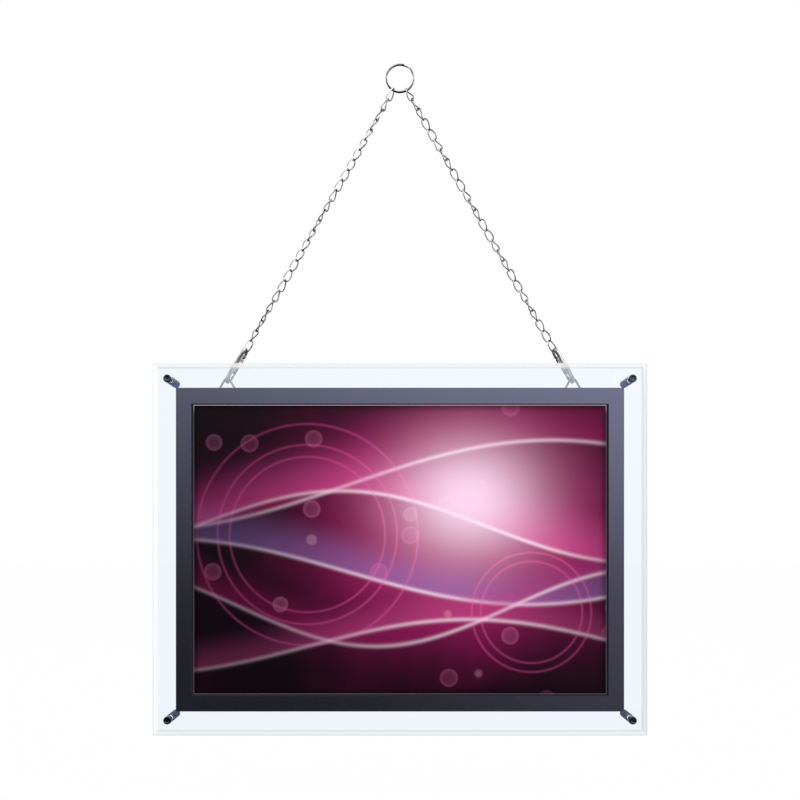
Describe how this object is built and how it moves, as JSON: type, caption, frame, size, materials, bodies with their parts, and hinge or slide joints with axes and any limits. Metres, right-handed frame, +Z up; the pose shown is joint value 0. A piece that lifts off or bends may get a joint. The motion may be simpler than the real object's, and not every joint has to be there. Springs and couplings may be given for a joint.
{
  "type": "hanging edge-lit light box",
  "caption": "Edge-lit light box on a clear bevelled sheet with standoffs, hung from a split ring by a two-leg twisted-link chain with snap hooks and triangle rings.",
  "frame": {"origin": "centre of the split ring that the light box hangs from", "axes": "+Z up, +X to the viewer's right, the lit face looks along -Y"},
  "size_m": [0.498, 0.0346, 0.6845],
  "materials": {
    "nickel_steel": "bright nickel plate",
    "clear_acrylic": "clear, polished edges",
    "satin_grey": "satin dark grey",
    "dark_steel": "glossy dark",
    "blue_steel": "satin bluish steel",
    "soft_washer": "translucent",
    "plain_aluminium": "mill finish",
    "zinc_steel": "zinc plated",
    "white_film": "white matte",
    "clear_guide": "clear",
    "opal": "opal",
    "lit_print": "backlit film",
    "board_white": "white solder mask",
    "lamp": "phosphor",
    "red_wire": "insulated",
    "black_plastic": "fine texture"
  },
  "bodies": {
    "ring": {"split_ring": "nickel_steel"},
    "hanger": {"chain_left": "nickel_steel", "chain_right": "nickel_steel", "hook_left": "nickel_steel", "hook_right": "nickel_steel", "triangle_left": "nickel_steel", "triangle_right": "nickel_steel"},
    "gate_left": {"gate_left": "nickel_steel", "gate_pin_left": "nickel_steel"},
    "gate_right": {"gate_right": "nickel_steel", "gate_pin_right": "nickel_steel"},
    "panel": {"bracket_left": "zinc_steel", "bracket_right": "zinc_steel", "bracket_screws": "zinc_steel", "hang_rail": "plain_aluminium", "rail_screws": "zinc_steel", "sheet_screws": "zinc_steel", "clear_sheet": "clear_acrylic", "standoff_barrels": "blue_steel", "standoff_washers": "soft_washer", "top_rail": "plain_aluminium", "bottom_rail": "plain_aluminium", "left_rail": "plain_aluminium", "right_rail": "plain_aluminium", "corner_keys": "zinc_steel", "keeper_strips": "zinc_steel", "back_plate": "plain_aluminium", "reflector": "white_film", "light_guide": "clear_guide", "diffuser": "opal", "led_board_top": "board_white", "led_board_bottom": "board_white", "leds_top": "lamp", "leds_bottom": "lamp", "link_wires": "red_wire", "feed_wires": "red_wire", "inlet_housing": "black_plastic", "dc_jack": "black_plastic", "inlet_screws": "zinc_steel"},
    "cap_top_left": {"cap_top_left": "dark_steel"},
    "cap_top_right": {"cap_top_right": "dark_steel"},
    "cap_bottom_left": {"cap_bottom_left": "dark_steel"},
    "cap_bottom_right": {"cap_bottom_right": "dark_steel"},
    "front_frame": {"border_frame": "satin_grey", "frame_magnets": "zinc_steel"},
    "print": {"print": "lit_print"}
  },
  "joints": [
    {"name": "chain_swing", "type": "hinge", "parent": "ring", "child": "hanger", "pos_m": [0, 0, -0.01235], "axis": [1, 0, 0], "range_deg": [-30, 0]},
    {"name": "panel_tilt", "type": "hinge", "parent": "hanger", "child": "panel", "pos_m": [0, 0, -0.33208], "axis": [1, 0, 0], "range_deg": [-1, 85]},
    {"name": "gate_left_open", "type": "hinge", "parent": "hanger", "child": "gate_left", "pos_m": [-0.16278, 0.0056, -0.287], "axis": [-0.8698, 0, 0.4934], "range_deg": [0, 22], "stiffness_Nm_per_rad": 0.05, "springref_deg": -11.46},
    {"name": "gate_right_open", "type": "hinge", "parent": "hanger", "child": "gate_right", "pos_m": [0.16278, 0.0056, -0.287], "axis": [-0.8698, 0, -0.4934], "range_deg": [0, 22], "stiffness_Nm_per_rad": 0.05, "springref_deg": -11.46},
    {"name": "cap_top_left_turn", "type": "hinge", "parent": "panel", "child": "cap_top_left", "pos_m": [-0.232, -0.01365, -0.31158], "axis": [0, 1, 0], "continuous": true},
    {"name": "cap_top_right_turn", "type": "hinge", "parent": "panel", "child": "cap_top_right", "pos_m": [0.232, -0.01365, -0.31158], "axis": [0, 1, 0], "continuous": true},
    {"name": "cap_bottom_left_turn", "type": "hinge", "parent": "panel", "child": "cap_bottom_left", "pos_m": [-0.232, -0.01365, -0.65258], "axis": [0, 1, 0], "continuous": true},
    {"name": "cap_bottom_right_turn", "type": "hinge", "parent": "panel", "child": "cap_bottom_right", "pos_m": [0.232, -0.01365, -0.65258], "axis": [0, 1, 0], "continuous": true},
    {"name": "frame_lift", "type": "slide", "parent": "panel", "child": "front_frame", "axis": [0, -1, 0], "range_m": [0, 0.05]},
    {"name": "print_lift", "type": "slide", "parent": "panel", "child": "print", "axis": [0, -1, 0], "range_m": [0, 0.025]}
  ],
  "couplings": [
    {"joint": "print_lift", "follows": "frame_lift", "ratio": 0.5}
  ]
}
